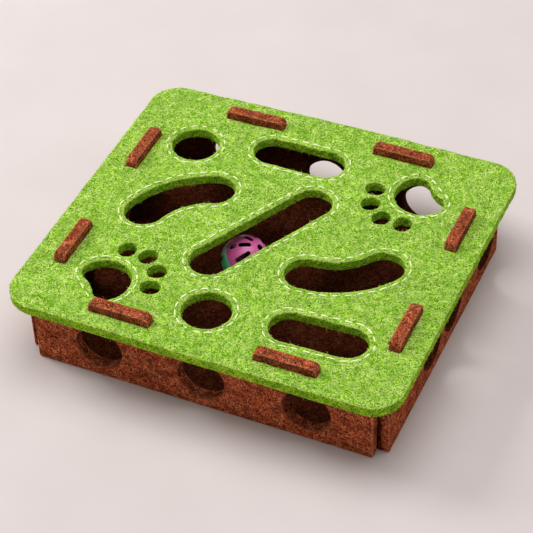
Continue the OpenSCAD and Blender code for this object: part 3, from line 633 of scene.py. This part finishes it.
def needle_felt(name, coarse, stops, tufted, arris_highlight, pit_shade, deep, body, pale, tint, unlit):
    """Needle-punched polyester felt: a mat of short curled fibres, some pale and some in painted shade, with
    small dark pits between them, whose dark is the painted shade in the gaps. Real fibres are about 0.03 mm
    thick; here they are drawn some twenty times coarser, so that the mat still shows at the distance of the
    picture. coarse scales the fibres' lengths, stops share them out between painted shade, body colour and
    pale, tufted says how deep the tufts stand, and the arris highlight says how pale the painted highlight
    along the arrises is. The colour arguments from the pits to pale are the mat's colours, from the painted
    shade in the pits to the palest fibres, tint is laid over a cut edge, and unlit is the colour of the
    painted shade on the inner faces."""
    material, tree, surface = new_material(name)
    flat = add(tree, "UVMap", uv_map="flat").outputs[0]
    place = add(tree, "TexCoord").outputs["Object"]
    broad = add(tree, "TexNoise", {"Vector": place, "Scale": per_mm(55), "Detail": 2.0}).outputs[0]
    grain = add(tree, "TexNoise", {"Vector": place, "Scale": per_mm(1.7), "Detail": 2.0,
                                   "Roughness": 0.7}).outputs[0]
    clump = add(tree, "TexNoise", {"Vector": place, "Scale": per_mm(7), "Detail": 2.0}).outputs[0]
    mixed = add(tree, "Math", {0: clump, 1: 0.4, 2: grain}, operation="MULTIPLY_ADD").outputs[0]
    mixed = add(tree, "Math", {0: broad, 1: 0.45, 2: mixed}, operation="MULTIPLY_ADD").outputs[0]
    tone = add(tree, "MapRange", {"Value": mixed, "From Min": 0.77, "From Max": 1.10}).outputs[0]
    colour = add(tree, "Mix", {0: tone, 6: shade(deep), 7: shade(body)}, data_type="RGBA").outputs[2]
    # the pits: small hollows in the relief, whose dark colour is painted shade between the fibres
    hollow = add(tree, "TexNoise", {"Vector": place, "Scale": per_mm(1.3), "Detail": 1.0}).outputs[0]
    hollow = add(tree, "MapRange", {"Value": hollow, "From Min": 0.55, "From Max": 0.64}).outputs[0]
    colour = add(tree, "Mix", {0: hollow, 6: colour, 7: shade(pit_shade)}, data_type="RGBA").outputs[2]
    height = add(tree, "Math", {0: hollow, 1: -1.0, 2: grain}, operation="MULTIPLY_ADD").outputs[0]
    for size, width, shift, cover in ((2.6, 0.30, 3.1, 0.9), (3.4, 0.31, 17.7, 0.9), (4.5, 0.33, 41.3, 0.95),
                                      (6.1, 0.35, 73.9, 1.0), (8.2, 0.37, 97.1, 1.0)):
        line, own = fibre_layer(tree, flat, coarse * size, width, shift)
        # a fibre's colour runs from painted shade through the body colour to pale
        fibre = colour_ramp(tree, own, dict(zip(stops, (deep, body, pale))))
        part = add(tree, "Math", {0: line, 1: cover}, operation="MULTIPLY").outputs[0]
        colour = add(tree, "Mix", {0: part, 6: colour, 7: fibre}, data_type="RGBA").outputs[2]
        height = add(tree, "Math", {0: line, 1: 0.5, 2: height}, operation="MULTIPLY_ADD").outputs[0]
    # tufts a few millimetres wide stand deeper than the rest
    tuft = add(tree, "TexNoise", {"Vector": place, "Scale": per_mm(9), "Detail": 3.0,
                                  "Roughness": 0.6}).outputs[0]
    tuft = add(tree, "MapRange", {"Value": tuft, "From Min": 0.58, "From Max": 0.32,
                                  "To Max": tufted}).outputs[0]
    colour = add(tree, "Mix", {0: tuft, 6: colour, 7: shade(deep)}, data_type="RGBA").outputs[2]
    # a cut edge shows the fibres' ends, in a deeper tint
    cut_edge = add(tree, "Attribute", attribute_name="cut").outputs["Fac"]
    colour = add(tree, "Mix", {0: cut_edge, 6: colour, 7: shade(tint)},
                 data_type="RGBA", blend_type="MULTIPLY").outputs[2]
    # fibres stand up along every arris, where the edge turns: the arris is painted paler, partly the frayed
    # fibres' own colour and partly a painted highlight where they catch the light
    turns_in = add(tree, "MapRange", {"Value": cut_edge, "From Max": 0.5}).outputs[0]
    turns_out = add(tree, "MapRange", {"Value": cut_edge, "From Min": 1.0, "From Max": 0.5}).outputs[0]
    highlight_grain = add(tree, "MapRange", {"Value": grain, "From Min": 0.35, "From Max": 0.6,
                                     "To Max": arris_highlight}).outputs[0]
    arris = add(tree, "Math", {0: turns_in, 1: turns_out}, operation="MULTIPLY").outputs[0]
    arris = add(tree, "Math", {0: arris, 1: highlight_grain}, operation="MULTIPLY").outputs[0]
    colour = add(tree, "Mix", {0: arris, 6: colour, 7: shade(pale)}, data_type="RGBA").outputs[2]
    # painted shade: the tray's inner faces are painted far darker than its outer ones, by as much as the
    # inner attribute says
    inner = add(tree, "Attribute", attribute_name="inner").outputs["Fac"]
    inner = add(tree, "MapRange", {"Value": inner, "From Min": 0.1, "From Max": 0.9,
                                   "To Max": 0.86}).outputs[0]
    colour = add(tree, "Mix", {0: inner, 6: colour, 7: shade(unlit)}, data_type="RGBA").outputs[2]
    bump = add(tree, "Bump", {"Height": height, "Strength": 0.6, "Distance": 0.7 * MM}).outputs[0]
    tree.links.new(colour, surface.inputs["Base Color"])
    tree.links.new(bump, surface.inputs["Normal"])
    surface.inputs["Roughness"].default_value = 0.95
    surface.inputs["Specular IOR Level"].default_value = 0.02
    surface.inputs["Sheen Weight"].default_value = 0.03
    surface.inputs["Sheen Roughness"].default_value = 0.6
    surface.inputs["Sheen Tint"].default_value = shade(pale)
    return material


def fibre_strand(name, dark, pale):
    """Loose polyester fibre: thin, slightly shiny, each strand of its own tone, and painted darker at its
    root as the shade where it meets the felt.
    """
    material, tree, surface = new_material(name)
    own, way, _ = add(tree, "SeparateXYZ", {0: add(tree, "UVMap", uv_map="OFBake").outputs[0]}).outputs
    # painted shade: each strand is darker towards its root
    tone = add(tree, "Math", {0: way, 1: 0.3, 2: own}, operation="MULTIPLY_ADD").outputs[0]
    tone = add(tree, "MapRange", {"Value": tone, "From Min": 0.1, "From Max": 1.1}).outputs[0]
    colour = add(tree, "Mix", {0: tone, 6: shade(dark), 7: shade(pale)}, data_type="RGBA").outputs[2]
    tree.links.new(colour, surface.inputs["Base Color"])
    surface.inputs["Roughness"].default_value = 0.75
    surface.inputs["Specular IOR Level"].default_value = 0.25
    return material


def sewing_thread(name, dark, pale):
    """Spun polyester sewing thread: soft satin, a little darker in the hollow between its plies."""
    material, tree, surface = new_material(name)
    place = add(tree, "TexCoord").outputs["Object"]
    fine = add(tree, "TexNoise", {"Vector": place, "Scale": per_mm(0.9), "Detail": 2.0}).outputs[0]
    slow = add(tree, "TexNoise", {"Vector": place, "Scale": per_mm(9), "Detail": 1.0}).outputs[0]
    mixed = add(tree, "Math", {0: fine, 1: 0.6, 2: slow}, operation="MULTIPLY_ADD").outputs[0]
    tone = add(tree, "MapRange", {"Value": mixed, "From Min": 0.6, "From Max": 1.0}).outputs[0]
    colour = add(tree, "Mix", {0: tone, 6: shade(dark), 7: shade(pale)}, data_type="RGBA").outputs[2]
    bump = add(tree, "Bump", {"Height": fine, "Strength": 0.3, "Distance": 0.15 * MM}).outputs[0]
    tree.links.new(colour, surface.inputs["Base Color"])
    tree.links.new(bump, surface.inputs["Normal"])
    surface.inputs["Roughness"].default_value = 0.6
    surface.inputs["Sheen Weight"].default_value = 0.2
    return material


def moulded_shell(name, dark, body):
    """Injection-moulded polypropylene: glossy, with faint clouding in the colour and fine handling marks.
    The inside of the hollow shell is painted near-black, as painted shade, so that its slots look black."""
    material, tree, surface = new_material(name)
    place = add(tree, "TexCoord").outputs["Object"]
    middle = tuple(MM * v for v in BALL)
    out = add(tree, "VectorMath", {0: place, 1: middle}, operation="DISTANCE").outputs["Value"]
    out = add(tree, "MapRange", {"Value": out, "From Min": (BALL_R - 0.22) * MM,
                                 "From Max": (BALL_R - 0.1) * MM}).outputs[0]
    cloud = add(tree, "TexNoise", {"Vector": place, "Scale": per_mm(14), "Detail": 2.0}).outputs[0]
    drawn = add(tree, "Mapping", {"Vector": place, "Scale": (1, 6, 2)}).outputs[0]
    marks = add(tree, "TexNoise", {"Vector": drawn, "Scale": per_mm(5), "Detail": 5.0,
                                   "Roughness": 0.7}).outputs[0]
    tone = add(tree, "MapRange", {"Value": cloud, "From Min": 0.3, "From Max": 0.6}).outputs[0]
    colour = add(tree, "Mix", {0: tone, 6: shade(dark), 7: shade(body)}, data_type="RGBA").outputs[2]
    # painted shade: inside the shell the colour is near-black
    colour = add(tree, "Mix", {0: out, 6: shade("0a0608"), 7: colour}, data_type="RGBA").outputs[2]
    rough = add(tree, "MapRange", {"Value": marks, "From Min": 0.3, "From Max": 0.7,
                                   "To Min": 0.22, "To Max": 0.36}).outputs[0]
    rough = add(tree, "Mix", {0: out, 2: 0.9, 3: rough}).outputs[0]
    bump = add(tree, "Bump", {"Height": marks, "Strength": 0.08, "Distance": 0.2 * MM}).outputs[0]
    tree.links.new(colour, surface.inputs["Base Color"])
    tree.links.new(rough, surface.inputs["Roughness"])
    tree.links.new(bump, surface.inputs["Normal"])
    surface.inputs["IOR"].default_value = 1.49
    return material


def stamped_brass(name, dark, bright):
    """Stamped thin brass, tumbled bright, with darker tarnish in patches."""
    material, tree, surface = new_material(name)
    place = add(tree, "TexCoord").outputs["Object"]
    tarnish = add(tree, "TexNoise", {"Vector": place, "Scale": per_mm(4), "Detail": 4.0,
                                     "Roughness": 0.65}).outputs[0]
    tone = add(tree, "MapRange", {"Value": tarnish, "From Min": 0.35, "From Max": 0.6}).outputs[0]
    colour = add(tree, "Mix", {0: tone, 6: shade(dark), 7: shade(bright)}, data_type="RGBA").outputs[2]
    rough = add(tree, "MapRange", {"Value": tarnish, "From Min": 0.3, "From Max": 0.7,
                                   "To Min": 0.42, "To Max": 0.24}).outputs[0]
    tree.links.new(colour, surface.inputs["Base Color"])
    tree.links.new(rough, surface.inputs["Roughness"])
    surface.inputs["Metallic"].default_value = 1.0
    return material


def wear(piece, material):
    """Gives a piece this one material."""
    piece.data.materials.clear()
    piece.data.materials.append(material)


lime_felt = needle_felt("lime_felt", coarse=0.5, stops=(0.27, 0.5, 0.94), tufted=0.5, arris_highlight=0.5,
                        pit_shade="123000", deep="5c9606", body="b6f238", pale="f8ffa8", tint="f0fa98",
                        unlit="3a5c08")
brown_felt = needle_felt("brown_felt", coarse=0.46, stops=(0.25, 0.62, 1.0), tufted=0.62, arris_highlight=0.6,
                         pit_shade="120302", deep="541808", body="f06e40", pale="ffb080", tint="fffcff",
                         unlit="1c0401")
wear(lid, lime_felt)
lime_fibre = fibre_strand("lime_fibre", "9cd836", "e4fa94")
lime_fuzz = fibre_strand("lime_fuzz", "94cb1e", "daff55")
brown_fibre = fibre_strand("brown_fibre", "8c3a1a", "e08e5e")
for piece in (*walls, tray_floor):
    wear(piece, brown_felt)
for piece, fibre in zip(lid_fibres, (lime_fibre, lime_fuzz)):
    wear(piece, fibre)
for piece in wall_fibres:
    wear(piece, brown_fibre)
pale_thread = sewing_thread("pale_thread", "f4ffac", "ffffe0")
for piece in seams:
    wear(piece, pale_thread)
wear(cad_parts["ball_half_pink"], moulded_shell("pink_shell", "d05090", "f06eb4"))
wear(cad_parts["ball_half_teal"], moulded_shell("teal_shell", "55db9d", "7bfebe"))
bell_brass = stamped_brass("bell_brass", "66501f", "c4a256")
for name in ("bell_cap", "bell_cup", "bell_pellet"):
    wear(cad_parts[name], bell_brass)

# Stage: a plain pale floor
GROUND_HALF = 4.0
ground = bpy.data.meshes.new("ground")
ground.from_pydata([(x * GROUND_HALF, y * GROUND_HALF, 0) for x, y in ((-1, -1), (1, -1), (1, 1), (-1, 1))],
                   [], [(0, 1, 2, 3)])
ground_piece = bpy.data.objects.new("ground", ground)
bpy.context.scene.collection.objects.link(ground_piece)
material, tree, surface = new_material("pale_floor")
place = add(tree, "TexCoord").outputs["Object"]
cloud = add(tree, "TexNoise", {"Vector": place, "Scale": per_mm(90), "Detail": 3.0}).outputs[0]
colour = add(tree, "Mix", {0: cloud, 6: shade("d5cac8"), 7: shade("e0d6d4")}, data_type="RGBA").outputs[2]
tree.links.new(colour, surface.inputs["Base Color"])
surface.inputs["Roughness"].default_value = 0.9
surface.inputs["Specular IOR Level"].default_value = 0.1
ground.materials.append(material)


# Light: a soft key from the left and a little behind, a broad lamp overhead, and a pale sky as fill

SKY_STRENGTH = 0.35


def soft_light(name, at, size, power):
    """A square area lamp, in metres and watts, that looks at the middle of the box."""
    lamp = bpy.data.lights.new(name, "AREA")
    lamp.energy, lamp.size = power, size
    holder = bpy.data.objects.new(name, lamp)
    bpy.context.scene.collection.objects.link(holder)
    back = np.array(at) / np.linalg.norm(at)
    right = np.cross((0, 0, 1), back)
    right /= np.linalg.norm(right)
    turned = np.stack([right, np.cross(back, right), back], 1)
    holder.matrix_world = Matrix([[*row, p] for row, p in zip(turned, at)] + [[0, 0, 0, 1]])


soft_light("key_light", (-1.9, 0.1, 1.6), 0.9, 28.5)
soft_light("top_light", (0.1, 0.2, 2.2), 2.0, 33.5)
world = bpy.data.worlds.new("soft_sky")
world.use_nodes = True
world.node_tree.nodes["Background"].inputs["Color"].default_value = shade("f2efee")
world.node_tree.nodes["Background"].inputs["Strength"].default_value = SKY_STRENGTH
bpy.context.scene.world = world

# Camera: the photograph's view, for a square frame
AZIMUTH, ELEVATION, ROLL = np.radians((25.576, 42.892, -2.31))
FOCAL, FRAME_SIZE, SENSOR = 1972.1, 533, 36.0
SHIFT = np.array((3.91, -23.13, -1631.45))
flat_way = np.array((np.sin(AZIMUTH), -np.cos(AZIMUTH), 0))
back = np.cos(ELEVATION) * flat_way + np.array((0, 0, np.sin(ELEVATION)))
right = np.array((np.cos(AZIMUTH), np.sin(AZIMUTH), 0))
up = np.cross(back, right)
c, s = np.cos(ROLL), np.sin(ROLL)
axes = np.stack([c * right + s * up, -s * right + c * up, back])
spot = -axes.T @ SHIFT * MM
lens = bpy.data.cameras.new("camera")
lens.sensor_width, lens.lens = SENSOR, FOCAL * SENSOR / FRAME_SIZE
camera = bpy.data.objects.new("camera", lens)
camera.matrix_world = Matrix([[*row, p] for row, p in zip(axes.T, spot)] + [[0, 0, 0, 1]])
bpy.context.scene.collection.objects.link(camera)
bpy.context.scene.camera = camera
bpy.context.scene.view_settings.view_transform = "Standard"
